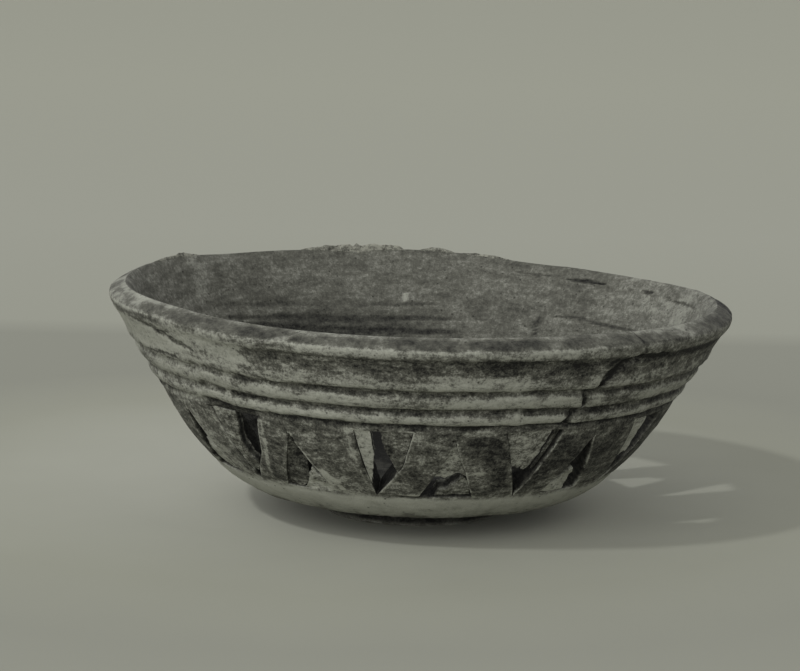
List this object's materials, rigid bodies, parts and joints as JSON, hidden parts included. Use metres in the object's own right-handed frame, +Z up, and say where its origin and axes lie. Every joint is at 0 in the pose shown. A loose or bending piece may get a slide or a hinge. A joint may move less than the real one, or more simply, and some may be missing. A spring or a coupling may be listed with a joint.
{
  "type": "bowl",
  "caption": "Wheel-thrown flaring bowl with ribbed wall, a pierced band of triangular windows, a rounded ledge and a low foot ring; mended from sherds, with crusts on the lip.",
  "frame": {"origin": "middle of the bounding box, on the table under the foot ring", "axes": "+Z up out of the mouth, -Y towards the side seen in the picture, +X to that side's right"},
  "size_m": [0.16, 0.16, 0.0594],
  "materials": {
    "slipped_clay": "matt slip, worn pale on the ribs",
    "foot_clay": "bare fired clay",
    "window_plate": "broken thin plate, matt",
    "lime_crust": "rough crust"
  },
  "bodies": {
    "root": {"bowl_body": "slipped_clay", "crust_back_left": "lime_crust", "crust_back_middle": "lime_crust", "crust_back_right": "lime_crust", "crust_left": "lime_crust", "foot_ring": "foot_clay", "pane_down_01_left": "window_plate", "pane_down_02_left": "window_plate", "pane_down_02_right": "window_plate", "pane_down_03_left": "window_plate", "pane_down_03_right": "window_plate", "pane_down_04_top": "window_plate", "pane_down_05_left": "window_plate", "pane_down_07_top": "window_plate", "pane_down_08_right": "window_plate", "pane_down_10_left": "window_plate", "pane_up_01_sill": "window_plate", "pane_up_01_top": "window_plate", "pane_up_02_sill": "window_plate", "pane_up_02_top": "window_plate", "pane_up_03_sill": "window_plate", "pane_up_04_whole": "window_plate", "pane_up_05_top": "window_plate", "pane_up_07_sill": "window_plate", "pane_up_08_top": "window_plate", "pane_up_10_sill": "window_plate", "rim_sherd_left": "slipped_clay", "rim_sherd_right": "slipped_clay"}
  },
  "joints": []
}
